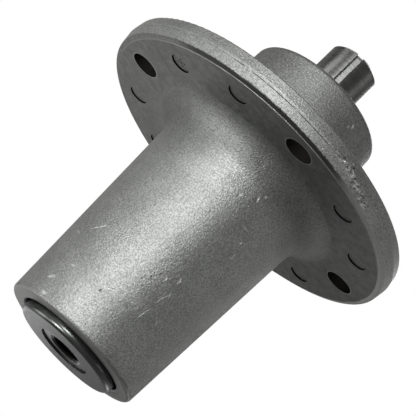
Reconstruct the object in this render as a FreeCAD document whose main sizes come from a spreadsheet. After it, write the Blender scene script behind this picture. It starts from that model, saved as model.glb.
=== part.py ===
import FreeCAD
import Part
import Sketcher
import math
import os
from FreeCAD import Placement, Rotation, Vector

# A mower deck spindle: a cast aluminium housing with a round flange, and a steel shaft that
# turns in two sealed ball bearings. The origin is the centre of the flange's mounting face,
# which is the face on the pulley side. +Z runs along the shaft towards the pulley end.
# Depths below the flange face are written as positive sizes.

os.makedirs("parts", exist_ok=True)
doc = FreeCAD.newDocument("mower_deck_spindle")

# Driving dimensions in millimetres and degrees: name, value, what it is.
SIZES = [
    ("shaft_rad", 12.7, "radius of the shaft"),
    ("stub_length", 27.1, "pulley end of the shaft above the top of the boss"),
    ("shaft_recess", 0.8, "blade end of the shaft inside the blade collar's face"),
    ("stub_relief", 0.1, "pulley end of the shaft under the bearing seats' radius"),
    ("shaft_chamfer", 1.2, "chamfer at the pulley end of the shaft"),
    ("foot_chamfer", 0.6, "chamfer at the blade end of the shaft"),
    ("tapped_rad", 7.4, "wall radius of the tapped bore"),
    ("tapped_depth", 44.0, "length of the tapped bore's straight wall"),
    ("tapped_mouth_rad", 8.4, "radius of the countersink at the tapped bore's mouth"),
    ("drill_tip", 4.4, "height of the drill point beyond the tapped bore"),
    ("centre_rad", 2.6, "radius of the lathe centre in the pulley end"),
    ("centre_depth", 4.0, "depth of the lathe centre"),
    ("key_width", 3.2, "width of the slot in the pulley end"),
    ("key_depth", 2.8, "depth of the slot below the shaft's surface"),
    ("key_length", 21.0, "length of the slot from the pulley end"),
    ("key_angle", 77.2, "direction of the slot around the shaft"),
    ("flange_thk", 10.9, "thickness of the flange"),
    ("flange_rad", 77.6, "radius of the flange at its mounting face"),
    ("parting_rad", 78.2, "radius of the rim at the casting's parting line"),
    ("parting_drop", 4.7, "parting line below the mounting face"),
    ("rim_rad", 77.3, "radius of the rim where the edge chamfer starts"),
    ("edge_rise", 0.9, "height of the chamfer round the tube side of the flange"),
    ("face_rad", 74.8, "radius of the flat on the tube side of the flange"),
    ("rim_round", 0.6, "rounding of the rim's upper edge"),
    ("cove_rad", 16.0, "cove between the tube and the flange"),
    ("tube_root_rad", 38.8, "radius of the tube's taper at the flange"),
    ("tube_end_rad", 33.4, "radius of the tube at its lower end"),
    ("housing_drop", 116.7, "lower end of the housing below the flange face"),
    ("tube_round", 1.6, "rounding of the tube's lower edge"),
    ("boss_base_rad", 34.9, "radius of the boss at the flange"),
    ("boss_top_rad", 33.9, "radius of the boss at its top"),
    ("boss_rise", 36.8, "top of the boss above the flange face"),
    ("boss_cove", 2.5, "cove between the boss and the flange"),
    ("boss_round", 2.6, "rounding of the boss's top edge"),
    ("shoulder", 3.6, "width of the shoulder that a bearing seats on"),
    ("core_draft", 0.8, "narrowing of the cast core from a shoulder to its waist"),
    ("waist_drop", 40.0, "narrowest place of the core below the flange face"),
    ("mouth_chamfer", 0.6, "chamfer at the mouths of both bearing bores"),
    ("hole_rad", 6.6, "radius of the bolt holes"),
    ("hole_circle_rad", 63.5, "radius of the bolt circle"),
    ("hole_count", 4, "number of bolt holes"),
    ("mark_rad", 4.8, "radius of the ejector marks"),
    ("mark_depth", 0.6, "depth of the ejector marks"),
    ("bearing_rad", 26.0, "outside radius of both bearings"),
    ("bearing_width", 15.0, "width of both bearings"),
    ("ring_corner", 1.0, "chamfer on the bearing rings' corners"),
    ("ball_rad", 3.97, "radius of a bearing ball"),
    ("ball_count", 9, "balls in one bearing"),
    ("ball_gap", 0.15, "running gap between a ball and its track"),
    ("land_offset", 2.65, "rings' lands from the pitch circle"),
    ("seal_thk", 1.0, "thickness of a bearing seal"),
    ("seal_recess", 0.4, "seal below the bearing's side face"),
    ("seal_bead", 0.5, "depth of the groove that holds the seal"),
    ("seal_gap", 0.08, "running gap at the seal's lip"),
    ("cage_wall", 0.7, "thickness of the pressed cage"),
    ("cage_half_width", 1.4, "half of the cage's radial width"),
    ("cage_gap", 0.2, "gap between a ball and its cage pocket"),
    ("rivet_rad", 0.7, "radius of a cage rivet"),
    ("rivet_head_rad", 1.15, "radius of a cage rivet's head"),
    ("rivet_head_rise", 0.5, "height of a cage rivet's head"),
    ("clip_thk", 2.0, "thickness of the retaining rings in the housing"),
    ("clip_width", 3.2, "radial width of the retaining rings in the housing"),
    ("clip_groove", 1.1, "depth of the housing grooves"),
    ("clip_gap", 0.1, "clearance round a retaining ring in its groove"),
    ("clip_lug_rad", 2.6, "radius of a retaining ring's lug"),
    ("clip_lug_inset", 1.2, "lug centre inside the ring's inner edge"),
    ("clip_lug_side", 5.2, "lug centre beside the ring's middle"),
    ("clip_eye_rad", 1.1, "radius of the hole in a lug"),
    ("clip_opening", 5.0, "opening of the ring between its lugs"),
    ("lower_clip_turn", 200.0, "direction of the lower retaining ring's opening"),
    ("upper_clip_turn", 270.0, "direction of the upper retaining ring's opening"),
    ("lower_lip", 3.5, "lower retaining ring inside the housing's end"),
    ("upper_lip", 3.3, "upper retaining ring inside the boss's top"),
    ("stack_step", 0.7, "spacer and collar sleeves inside the inner rings' lands"),
    ("stack_gap", 0.1, "clearance between the shaft and what slides onto it"),
    ("disc_gap", 1.2, "gap between the blade collar's disc and the bore round it"),
    ("disc_clear", 1.2, "gap between the disc and the retaining ring behind it"),
    ("disc_stand", 3.7, "blade collar's face beyond the housing's end"),
    ("disc_round", 2.0, "rounding of the disc's outer edge"),
    ("disc_press", 0.02, "allowance of the blade collar on the shaft"),
    ("pulley_collar_rise", 3.2, "pulley collar above the top of the boss"),
    ("snap_thk", 1.3, "thickness of the shaft's retaining ring"),
    ("snap_width", 2.6, "radial width of the shaft's retaining ring"),
    ("snap_groove", 0.7, "depth of the shaft's groove"),
    ("snap_lug_rad", 1.7, "radius of the lugs of the shaft's retaining ring"),
    ("snap_eye_rad", 0.7, "radius of the holes in those lugs"),
    ("snap_opening", 4.0, "opening of the shaft's retaining ring"),
    ("snap_turn", 250.0, "direction of the shaft's retaining ring's opening"),
    ("bore_runout", 1.0, "cut of the bores beyond both ends of the casting"),
]

sheet = doc.addObject("Spreadsheet::Sheet", "Sizes")
for row, (alias, value, meaning) in enumerate(SIZES, start=1):
    sheet.set("A%d" % row, meaning)
    sheet.set("B%d" % row, str(value))
    sheet.setAlias("B%d" % row, alias)
doc.recompute()


class Dim:
    """A length that knows its number and the spreadsheet expression it comes from."""

    def __init__(self, value, text):
        self.value = float(value)
        self.text = text

    @staticmethod
    def of(other):
        if isinstance(other, Dim):
            return other
        return Dim(other, repr(other))

    def __add__(self, other):
        other = Dim.of(other)
        return Dim(self.value + other.value, "(%s + %s)" % (self.text, other.text))

    def __sub__(self, other):
        other = Dim.of(other)
        return Dim(self.value - other.value, "(%s - %s)" % (self.text, other.text))

    def __mul__(self, other):
        other = Dim.of(other)
        return Dim(self.value * other.value, "(%s * %s)" % (self.text, other.text))

    def __truediv__(self, other):
        other = Dim.of(other)
        return Dim(self.value / other.value, "(%s / %s)" % (self.text, other.text))

    def __neg__(self):
        return Dim(-self.value, "(0 - %s)" % self.text)


def size(alias):
    """The named cell of the sheet."""
    return Dim(sheet.get(alias), "Sizes." + alias)


ZERO = Dim(0.0, "0")


def bind(obj, prop, dim):
    """Tie a property of an object to its expression."""
    obj.setExpression(prop, dim.text)


def new_body(label):
    body = doc.addObject("PartDesign::Body", label)
    body.Label = label
    return body


def plane(body, role):
    for feature in body.Origin.OriginFeatures:
        if feature.Role == role:
            return feature
    raise ValueError(role)


def new_sketch(body, name, role):
    sketch = body.newObject("Sketcher::SketchObject", name)
    sketch.AttachmentSupport = (plane(body, role), [""])
    sketch.MapMode = "FlatFace"
    return sketch


def pin_point(sketch, geo, pos, across, up):
    """Fix one point of a sketch by its two distances from the sketch's origin."""
    for kind, dim, axis in (("DistanceX", across, -2), ("DistanceY", up, -1)):
        if abs(dim.value) < 1e-9 and dim.text == "0":
            sketch.addConstraint(Sketcher.Constraint("PointOnObject", geo, pos, axis))
            continue
        index = sketch.addConstraint(Sketcher.Constraint(kind, -1, 1, geo, pos, dim.value))
        sketch.setExpression("Constraints[%d]" % index, dim.text)


def outline(sketch, points):
    """Closed polygon through points, each fixed to its own expressions."""
    first = sketch.GeometryCount
    count = len(points)
    for i in range(count):
        a, b = points[i], points[(i + 1) % count]
        sketch.addGeometry(Part.LineSegment(Vector(a[0].value, a[1].value, 0),
                                            Vector(b[0].value, b[1].value, 0)), False)
    for i in range(count):
        after = first + (i + 1) % count
        sketch.addConstraint(Sketcher.Constraint("Coincident", first + i, 2, after, 1))
    for i in range(count):
        pin_point(sketch, first + i, 1, points[i][0], points[i][1])


def circle(sketch, across, up, radius):
    geo = sketch.addGeometry(Part.Circle(Vector(across.value, up.value, 0), Vector(0, 0, 1),
                                         radius.value), False)
    index = sketch.addConstraint(Sketcher.Constraint("Radius", geo, radius.value))
    sketch.setExpression("Constraints[%d]" % index, radius.text)
    pin_point(sketch, geo, 3, across, up)
    return geo


def turned(body, name, points):
    """Solid of revolution about Z from a half section in the XZ plane."""
    sketch = new_sketch(body, name + "_section", "XZ_Plane")
    outline(sketch, points)
    feature = body.newObject("PartDesign::Revolution", name)
    feature.Profile = sketch
    feature.ReferenceAxis = (sketch, ["V_Axis"])
    feature.Angle = 360
    doc.recompute()
    return feature


def turned_cut(body, name, points):
    """Groove about Z. It must take material away."""
    before = body.Shape.Volume
    sketch = new_sketch(body, name + "_section", "XZ_Plane")
    outline(sketch, points)
    return finish_groove(body, name, sketch, before)


def finish_groove(body, name, sketch, before):
    feature = body.newObject("PartDesign::Groove", name)
    feature.Profile = sketch
    feature.ReferenceAxis = (sketch, ["V_Axis"])
    feature.Angle = 360
    doc.recompute()
    if not body.Shape.Volume < before - 1e-3:
        raise ValueError(name + " cuts nothing")
    return feature


def ring_edges(shape, radius, height):
    """Names of the full circles about Z at a radius and height."""
    names = []
    for index, edge in enumerate(shape.Edges, start=1):
        curve = edge.Curve
        if not isinstance(curve, Part.Circle):
            continue
        middle = curve.Center
        if math.hypot(middle.x, middle.y) > 1e-4:
            continue
        if abs(curve.Radius - radius.value) < 1e-4 and abs(middle.z - height.value) < 1e-4:
            names.append("Edge%d" % index)
    if not names:
        raise ValueError("no edge at radius %.3f height %.3f" % (radius.value, height.value))
    return names


def rounded(body, name, base, places, radius):
    """Fillet on the circles at the given places."""
    names = []
    for place_rad, place_z in places:
        names += ring_edges(base.Shape, place_rad, place_z)
    feature = body.newObject("PartDesign::Fillet", name)
    feature.Base = (base, names)
    feature.Radius = radius.value
    bind(feature, "Radius", radius)
    doc.recompute()
    return feature


def patterned(body, name, original, count):
    """Polar pattern about Z; the count is a cell of the sheet."""
    feature = body.newObject("PartDesign::PolarPattern", name)
    feature.Originals = [original]
    feature.Axis = (plane(body, "Z_Axis"), [""])
    feature.Angle = 360
    feature.Occurrences = int(count.value)
    bind(feature, "Occurrences", count)
    body.Tip = feature
    doc.recompute()
    return feature


def lift(obj, height):
    """Seat an object at a height along Z."""
    bind(obj, "Placement.Base.z", height)


# Sizes that several pieces share.
shaft_rad = size("shaft_rad")
flange_z = -size("flange_thk")
housing_z = -size("housing_drop")
boss_z = size("boss_rise")
disc_z = housing_z - size("disc_stand")
foot_z = disc_z + size("shaft_recess")
crown_z = boss_z + size("stub_length")
bearing_rad = size("bearing_rad")
bearing_width = size("bearing_width")
pitch_rad = (bearing_rad + shaft_rad) / 2
inner_land = pitch_rad - size("land_offset")
outer_land = pitch_rad + size("land_offset")
sleeve_rad = inner_land - size("stack_step")
clip_thk = size("clip_thk")
clip_gap = size("clip_gap")
groove_rad = bearing_rad + size("clip_groove")
# Heights of the two bearings: each lies between a shoulder and its retaining ring.
lower_clip_z = housing_z + size("lower_lip")
lower_face_z = lower_clip_z + clip_thk
lower_seat_z = lower_face_z + bearing_width
upper_clip_z = boss_z - size("upper_lip") - clip_thk
upper_seat_z = upper_clip_z - bearing_width
lower_mid_z = lower_face_z + bearing_width / 2
upper_mid_z = upper_seat_z + bearing_width / 2
snap_z = boss_z + size("pulley_collar_rise")

pieces = []


def housing():
    """The casting: tapered tube, cove, flange and boss, bored for the bearings."""
    body = new_body("spindle_housing")
    tube_end = size("tube_end_rad")
    tube_root = size("tube_root_rad")
    face_rad = size("face_rad")
    boss_top = size("boss_top_rad")
    boss_base = size("boss_base_rad")
    blank = turned(body, "casting", [
        (ZERO, housing_z), (tube_end, housing_z), (tube_root, flange_z), (face_rad, flange_z),
        (size("rim_rad"), flange_z + size("edge_rise")), (size("parting_rad"), -size("parting_drop")),
        (size("flange_rad"), ZERO), (boss_base, ZERO), (boss_top, boss_z), (ZERO, boss_z)])
    cove = rounded(body, "tube_cove", blank, [(tube_root, flange_z)], size("cove_rad"))
    boss_cove = rounded(body, "boss_foot", cove, [(boss_base, ZERO)], size("boss_cove"))
    boss_edge = rounded(body, "boss_edge", boss_cove, [(boss_top, boss_z)], size("boss_round"))
    tube_edge = rounded(body, "tube_edge", boss_edge, [(tube_end, housing_z)], size("tube_round"))
    rounded(body, "rim_edge", tube_edge, [(size("flange_rad"), ZERO)], size("rim_round"))
    # Stepped bore: a seat with a ring groove at each end and a cast core between.
    chamfer = size("mouth_chamfer")
    core = bearing_rad - size("shoulder")
    runout = size("bore_runout")
    turned_cut(body, "bore", [
        (ZERO, housing_z - runout), (bearing_rad + chamfer + runout, housing_z - runout),
        (bearing_rad, housing_z + chamfer),
        (bearing_rad, lower_clip_z - clip_gap), (groove_rad, lower_clip_z - clip_gap),
        (groove_rad, lower_face_z), (bearing_rad, lower_face_z), (bearing_rad, lower_seat_z),
        (core, lower_seat_z), (core - size("core_draft"), -size("waist_drop")), (core, upper_seat_z),
        (bearing_rad, upper_seat_z), (bearing_rad, upper_clip_z), (groove_rad, upper_clip_z),
        (groove_rad, upper_clip_z + clip_thk + clip_gap), (bearing_rad, upper_clip_z + clip_thk + clip_gap),
        (bearing_rad, boss_z - chamfer), (bearing_rad + chamfer + runout, boss_z + runout),
        (ZERO, boss_z + runout)])
    # Bolt holes, drilled from the mounting face.
    before = body.Shape.Volume
    sketch = new_sketch(body, "bolt_hole_circle", "XY_Plane")
    circle(sketch, size("hole_circle_rad"), ZERO, size("hole_rad"))
    hole = body.newObject("PartDesign::Pocket", "bolt_hole")
    hole.Profile = sketch
    hole.Type = "ThroughAll"
    doc.recompute()
    patterned(body, "bolt_holes", hole, size("hole_count"))
    if not body.Shape.Volume < before - 1e3:
        raise ValueError("bolt holes cut nothing")
    # Two shallow ejector marks between each pair of bolt holes, on the tube side.
    before = body.Shape.Volume
    sketch = new_sketch(body, "ejector_circles", "XY_Plane")
    sketch.AttachmentOffset = Placement(Vector(0, 0, flange_z.value), Rotation())
    bind(sketch, "AttachmentOffset.Base.z", flange_z)
    circle_rad = size("hole_circle_rad")
    for step in (1, 2):
        turn = 120.0 / size("hole_count").value * step
        words = "(120 / Sizes.hole_count * %d)" % step
        across = circle_rad * Dim(math.cos(math.radians(turn)), "cos" + words)
        up = circle_rad * Dim(math.sin(math.radians(turn)), "sin" + words)
        circle(sketch, across, up, size("mark_rad"))
    mark = body.newObject("PartDesign::Pocket", "ejector_mark")
    mark.Profile = sketch
    mark.Reversed = True
    mark.Length = size("mark_depth").value
    bind(mark, "Length", size("mark_depth"))
    doc.recompute()
    patterned(body, "ejector_marks", mark, size("hole_count"))
    if not body.Shape.Volume < before - 50:
        raise ValueError("ejector marks cut nothing")
    pieces.append(body)


def shaft():
    """The shaft, with its tapped bore below and its slot above."""
    body = new_body("spindle_shaft")
    tapped = size("tapped_rad")
    mouth = size("tapped_mouth_rad")
    top = crown_z
    edge = size("shaft_chamfer")
    foot = size("foot_chamfer")
    deep = foot_z + size("tapped_depth")
    groove = shaft_rad - size("snap_groove")
    stub = shaft_rad - size("stub_relief")
    centre = size("centre_rad")
    turned(body, "bar", [
        (mouth, foot_z), (shaft_rad - foot, foot_z), (shaft_rad, foot_z + foot),
        (shaft_rad, snap_z), (groove, snap_z), (groove, snap_z + size("snap_thk") + clip_gap),
        (stub, snap_z + size("snap_thk") + clip_gap), (stub, top - edge),
        (stub - edge, top), (centre, top), (ZERO, top - size("centre_depth")),
        (ZERO, deep + size("drill_tip")), (tapped, deep), (tapped, foot_z + mouth - tapped)])
    before = body.Shape.Volume
    sketch = new_sketch(body, "slot_section", "XY_Plane")
    sketch.AttachmentOffset = Placement(Vector(0, 0, top.value),
                                        Rotation(Vector(0, 0, 1), size("key_angle").value))
    bind(sketch, "AttachmentOffset.Base.z", top)
    bind(sketch, "AttachmentOffset.Rotation.Angle", size("key_angle"))
    half = size("key_width") / 2
    floor = shaft_rad - size("key_depth")
    outline(sketch, [(floor, -half), (shaft_rad + 1, -half), (shaft_rad + 1, half), (floor, half)])
    slot = body.newObject("PartDesign::Pocket", "slot")
    slot.Profile = sketch
    slot.Length = size("key_length").value
    bind(slot, "Length", size("key_length"))
    doc.recompute()
    if not body.Shape.Volume < before - 50:
        raise ValueError("slot cuts nothing")
    pieces.append(body)


def shaft_stack():
    """What sits on the shaft: blade collar, spacer between the bearings, pulley collar."""
    sleeve = sleeve_rad
    bore = shaft_rad + size("stack_gap")
    spacer = new_body("bearing_spacer")
    turned(spacer, "spacer_tube", [(bore, lower_seat_z), (sleeve, lower_seat_z),
                                   (sleeve, upper_seat_z), (bore, upper_seat_z)])
    pieces.append(spacer)

    collar = new_body("blade_collar")
    disc = bearing_rad - size("disc_gap")
    face_z = disc_z
    back_z = lower_clip_z - size("disc_clear")
    press = shaft_rad + size("disc_press")
    blank = turned(collar, "collar_disc", [
        (press, face_z), (disc, face_z), (disc, back_z), (sleeve, back_z),
        (sleeve, lower_face_z), (press, lower_face_z)])
    rounded(collar, "disc_edge", blank, [(disc, face_z)], size("disc_round"))
    pieces.append(collar)

    upper = new_body("pulley_collar")
    foot = upper_seat_z + bearing_width
    turned(upper, "collar_sleeve", [(bore, foot), (sleeve, foot), (sleeve, snap_z), (bore, snap_z)])
    pieces.append(upper)


def cylinder(name, radius, height, across=ZERO, side=ZERO):
    solid = doc.addObject("Part::Cylinder", name)
    bind(solid, "Radius", radius)
    bind(solid, "Height", height)
    bind(solid, "Placement.Base.x", across)
    bind(solid, "Placement.Base.y", side)
    return solid


def retaining_ring(label, outer, inner, thick, lug, eye, lug_across, lug_side, opening, height, turn):
    """Open ring with two lugs and their holes; the opening faces +X before it is turned."""
    band = doc.addObject("Part::Cut", label + "_band")
    band.Base = cylinder(label + "_outside", outer, thick)
    band.Tool = cylinder(label + "_inside", inner, thick)
    lugs = [cylinder(label + "_lug_%d" % i, lug, thick, lug_across, side)
            for i, side in enumerate((lug_side, -lug_side))]
    eyes = [cylinder(label + "_eye_%d" % i, eye, thick, lug_across, side)
            for i, side in enumerate((lug_side, -lug_side))]
    gap = doc.addObject("Part::Box", label + "_opening")
    bind(gap, "Length", outer + lug)
    bind(gap, "Width", opening)
    bind(gap, "Height", thick)
    bind(gap, "Placement.Base.y", -opening / 2)
    whole = doc.addObject("Part::MultiFuse", label + "_whole")
    whole.Shapes = [band] + lugs
    taken = doc.addObject("Part::MultiFuse", label + "_taken")
    taken.Shapes = [gap] + eyes
    ring = doc.addObject("Part::Cut", label)
    ring.Base = whole
    ring.Tool = taken
    ring.Label = label
    ring.Placement = Placement(Vector(0, 0, height.value), Rotation(Vector(0, 0, 1), turn.value))
    lift(ring, height)
    bind(ring, "Placement.Rotation.Angle", turn)
    pieces.append(ring)


def retaining_rings():
    outer = groove_rad - clip_gap
    inner = outer - size("clip_width")
    across = inner - size("clip_lug_inset")
    for label, height, turn in (("lower_retaining_ring", lower_clip_z, size("lower_clip_turn")),
                                ("upper_retaining_ring", upper_clip_z, size("upper_clip_turn"))):
        retaining_ring(label, outer, inner, clip_thk, size("clip_lug_rad"), size("clip_eye_rad"),
                       across, size("clip_lug_side"), size("clip_opening"), height, turn)
    inner = shaft_rad - size("snap_groove") + clip_gap / 2
    outer = inner + size("snap_width")
    side = size("snap_opening") / 2 + size("snap_lug_rad")
    retaining_ring("shaft_retaining_ring", outer, inner, size("snap_thk"), size("snap_lug_rad"),
                   size("snap_eye_rad"), outer - size("snap_lug_rad") / 2, side,
                   size("snap_opening"), snap_z, size("snap_turn"))


def bearing(prefix, middle):
    """A sealed deep groove ball bearing built about its own middle plane."""
    half = bearing_width / 2
    corner = size("ring_corner")
    ball_rad = size("ball_rad")
    seal_out = half - size("seal_recess")
    seal_in = seal_out - size("seal_thk")
    bead_rad = outer_land + size("seal_bead")
    bead_out = seal_out - size("seal_thk") / 4
    bead_in = seal_in + size("seal_thk") / 4
    track = ball_rad + size("ball_gap")

    outer = new_body(prefix + "_outer_ring")
    turned(outer, prefix + "_outer_blank", [
        (outer_land, -half), (bearing_rad - corner, -half), (bearing_rad, -half + corner),
        (bearing_rad, half - corner), (bearing_rad - corner, half), (outer_land, half),
        (outer_land, bead_out), (bead_rad, bead_out), (bead_rad, bead_in), (outer_land, bead_in),
        (outer_land, -bead_in), (bead_rad, -bead_in), (bead_rad, -bead_out), (outer_land, -bead_out)])
    inner = new_body(prefix + "_inner_ring")
    turned(inner, prefix + "_inner_blank", [
        (shaft_rad + corner, -half), (inner_land, -half), (inner_land, half),
        (shaft_rad + corner, half), (shaft_rad, half - corner), (shaft_rad, -half + corner)])
    for body, name in ((outer, "_outer_track"), (inner, "_inner_track")):
        before = body.Shape.Volume
        sketch = new_sketch(body, prefix + name + "_section", "XZ_Plane")
        circle(sketch, pitch_rad, ZERO, track)
        finish_groove(body, prefix + name, sketch, before)
        lift(body, middle)
        pieces.append(body)

    balls = new_body(prefix + "_balls")
    balls.AllowCompound = True
    sketch = new_sketch(balls, prefix + "_ball_section", "XZ_Plane")
    arc = sketch.addGeometry(Part.ArcOfCircle(
        Part.Circle(Vector(pitch_rad.value, 0, 0), Vector(0, 0, 1), ball_rad.value),
        -math.pi / 2, math.pi / 2), False)
    line = sketch.addGeometry(Part.LineSegment(Vector(pitch_rad.value, ball_rad.value, 0),
                                               Vector(pitch_rad.value, -ball_rad.value, 0)), False)
    sketch.addConstraint(Sketcher.Constraint("Coincident", arc, 2, line, 1))
    sketch.addConstraint(Sketcher.Constraint("Coincident", line, 2, arc, 1))
    pin_point(sketch, arc, 3, pitch_rad, ZERO)
    pin_point(sketch, arc, 1, pitch_rad, -ball_rad)
    sketch.addConstraint(Sketcher.Constraint("Vertical", line))
    ball = balls.newObject("PartDesign::Revolution", prefix + "_ball")
    ball.Profile = sketch
    ball.ReferenceAxis = (sketch, ["Edge%d" % (line + 1)])
    ball.Angle = 360
    doc.recompute()
    patterned(balls, prefix + "_ball_set", ball, size("ball_count"))
    lift(balls, middle)
    pieces.append(balls)

    cage_pieces(prefix, middle)

    for end, sign in (("bottom", -1), ("top", 1)):
        seal = new_body("%s_seal_%s" % (prefix, end))
        lip = inner_land + size("seal_gap")
        points = [(lip, seal_in), (outer_land, seal_in), (outer_land, bead_in), (bead_rad, bead_in),
                  (bead_rad, bead_out), (outer_land, bead_out), (outer_land, seal_out), (lip, seal_out)]
        if sign < 0:
            points = [(across, -up) for across, up in points]
        turned(seal, "%s_seal_%s_ring" % (prefix, end), points)
        lift(seal, middle)
        pieces.append(seal)


def cage_pieces(prefix, middle):
    """Pressed ribbon cage: two halves with domed pockets, riveted between the balls."""
    count = int(size("ball_count").value)
    pocket = size("ball_rad").value + size("cage_gap").value
    wall = size("cage_wall").value
    dome = pocket + wall
    near = pitch_rad.value - size("cage_half_width").value
    far = pitch_rad.value + size("cage_half_width").value
    step = 360.0 / count
    rivet = size("rivet_rad").value
    centres = []
    rivets = []
    for i in range(count):
        angle = math.radians(i * step)
        centres.append(Vector(pitch_rad.value * math.cos(angle), pitch_rad.value * math.sin(angle), 0))
        angle = math.radians((i + 0.5) * step)
        rivets.append(Vector(pitch_rad.value * math.cos(angle), pitch_rad.value * math.sin(angle), 0))
    for end, sign in (("bottom", -1), ("top", 1)):
        up = Vector(0, 0, sign)
        band = Part.makeCylinder(far, dome, Vector(0, 0, 0), up)
        band = band.cut(Part.makeCylinder(near, dome, Vector(0, 0, 0), up))
        plate = Part.makeCylinder(far, wall, Vector(0, 0, 0), up)
        plate = plate.cut(Part.makeCylinder(near, wall, Vector(0, 0, 0), up))
        domes = [Part.makeSphere(dome, centre).common(band) for centre in centres]
        solid = plate.multiFuse(domes)
        solid = solid.cut(Part.makeCompound([Part.makeSphere(pocket, centre) for centre in centres]))
        solid = solid.cut(Part.makeCompound([Part.makeCylinder(rivet, wall, at, up) for at in rivets]))
        half = doc.addObject("Part::Feature", "%s_cage_%s" % (prefix, end))
        half.Label = "%s_cage_%s" % (prefix, end)
        half.Shape = solid.removeSplitter()
        half.Placement = Placement(Vector(0, 0, middle.value), Rotation())
        lift(half, middle)
        pieces.append(half)
    group = new_body(prefix + "_cage_rivets")
    group.AllowCompound = True
    sketch = new_sketch(group, prefix + "_rivet_section", "XZ_Plane")
    wall = size("cage_wall")
    crown = wall + size("rivet_head_rise")
    shank = pitch_rad + size("rivet_rad")
    head = pitch_rad + size("rivet_head_rad")
    outline(sketch, [(pitch_rad, -crown), (head, -crown), (head, -wall), (shank, -wall),
                     (shank, wall), (head, wall), (head, crown), (pitch_rad, crown)])
    pin = group.newObject("PartDesign::Revolution", prefix + "_rivet")
    pin.Profile = sketch
    pin.ReferenceAxis = (sketch, ["Edge8"])
    pin.Angle = 360
    doc.recompute()
    patterned(group, prefix + "_rivet_set", pin, size("ball_count"))
    group.Placement = Placement(Vector(0, 0, middle.value), Rotation(Vector(0, 0, 1), step / 2))
    lift(group, middle)
    pieces.append(group)


housing()
shaft()
shaft_stack()
retaining_rings()
bearing("lower", lower_mid_z)
bearing("upper", upper_mid_z)
doc.recompute()

for obj in doc.Objects:
    if "Invalid" in obj.State or "Error" in obj.State:
        raise ValueError("%s failed: %s" % (obj.Label, obj.State))
for piece in pieces:
    if piece.Shape.isNull() or not piece.Shape.isValid() or piece.Shape.Volume <= 0:
        raise ValueError(piece.Label + " has no valid shape")
for piece in pieces:
    piece.Shape.exportStep("parts/" + piece.Label + ".step")
    box = piece.Shape.BoundBox
    print("%-24s solids %d volume %10.1f z %8.2f to %8.2f r %6.2f" % (
        piece.Label, len(piece.Shape.Solids), piece.Shape.Volume, box.ZMin, box.ZMax, box.XMax))
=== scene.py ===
"""Looks of the mower deck spindle: finishes, fine surface detail, camera, light and floor."""

import logging
import math
import random
from dataclasses import dataclass, field
from enum import Enum
from typing import Any

import bmesh
import bpy
from mathutils import Matrix, Vector


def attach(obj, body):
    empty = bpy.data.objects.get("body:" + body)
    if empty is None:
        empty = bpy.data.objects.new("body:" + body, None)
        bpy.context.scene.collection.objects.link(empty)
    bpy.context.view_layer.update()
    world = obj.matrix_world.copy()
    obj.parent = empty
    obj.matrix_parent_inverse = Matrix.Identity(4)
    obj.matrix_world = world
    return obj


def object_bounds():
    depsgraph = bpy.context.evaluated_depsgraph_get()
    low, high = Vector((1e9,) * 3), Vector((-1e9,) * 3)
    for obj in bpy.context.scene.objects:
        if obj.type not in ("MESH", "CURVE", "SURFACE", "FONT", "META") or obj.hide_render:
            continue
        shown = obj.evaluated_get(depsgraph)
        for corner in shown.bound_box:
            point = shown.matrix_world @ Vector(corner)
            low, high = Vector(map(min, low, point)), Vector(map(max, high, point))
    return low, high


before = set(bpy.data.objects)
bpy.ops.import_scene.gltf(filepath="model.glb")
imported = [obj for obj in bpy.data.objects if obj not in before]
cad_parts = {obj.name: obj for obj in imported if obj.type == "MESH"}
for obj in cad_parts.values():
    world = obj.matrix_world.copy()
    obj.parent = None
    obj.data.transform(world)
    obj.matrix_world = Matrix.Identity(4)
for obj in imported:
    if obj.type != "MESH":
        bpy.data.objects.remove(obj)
CAD_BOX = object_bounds()

MM = 0.001
LOG = logging.getLogger("spindle")

Socket = bpy.types.NodeSocket
Tree = bpy.types.NodeTree


class Body(Enum):
    """CAD bodies that pieces ride on."""

    HOUSING = "housing"
    SHAFT = "shaft"


class Join(Enum):
    """Ways to join masks: where all of them are, or where any of them is."""

    ALL = "MULTIPLY"
    ANY = "MAXIMUM"


def linear(hex_colour: str) -> tuple[float, float, float, float]:
    """Turns an sRGB hex colour into linear RGBA.

    Args:
        hex_colour: Colour such as "#8e8f8c".

    Returns:
        Linear red, green, blue and an alpha of 1.
    """
    parts = [int(hex_colour[i:i + 2], 16) / 255 for i in (1, 3, 5)]
    low = [c / 12.92 if c <= 0.04045 else ((c + 0.055) / 1.055) ** 2.4 for c in parts]
    return low[0], low[1], low[2], 1.0


def add_node(tree: Tree, kind: str, settings: dict[str, Any] | None = None,
             links: dict[Any, Any] | None = None) -> bpy.types.Node:
    """Adds a node with its settings and its inputs.

    Args:
        tree: Node tree that gets the node.
        kind: Blender's node type.
        settings: Attributes of the node.
        links: Input name or index, with the socket to link from or the value to set.

    Returns:
        The new node.
    """
    made = tree.nodes.new(kind)
    for name, value in (settings or {}).items():
        setattr(made, name, value)
    for name, value in (links or {}).items():
        if isinstance(value, Socket):
            tree.links.new(value, made.inputs[name])
        else:
            made.inputs[name].default_value = value
    return made


def new_material(name: str) -> tuple[bpy.types.Material, Tree, bpy.types.Node]:
    """Makes an empty material with a surface shader.

    Args:
        name: Name of the material.

    Returns:
        The material, its node tree and its Principled shader.
    """
    material = bpy.data.materials.new(name)
    material.use_nodes = True
    tree = material.node_tree
    tree.nodes.clear()
    shader = add_node(tree, "ShaderNodeBsdfPrincipled")
    add_node(tree, "ShaderNodeOutputMaterial", links={"Surface": shader.outputs[0]})
    return material, tree, shader


@dataclass(frozen=True)
class Zone:
    """A turned region: its heights, its radii and half of the width of its fade, in millimetres."""

    heights: tuple[float, float]
    radii: tuple[float, float]
    soft: float = 0.1


@dataclass(frozen=True)
class Stretch:
    """A stretch round the axis, by angles from +Y towards +X, with half of its fade in radians."""

    first_deg: float
    last_deg: float
    soft: float


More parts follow.
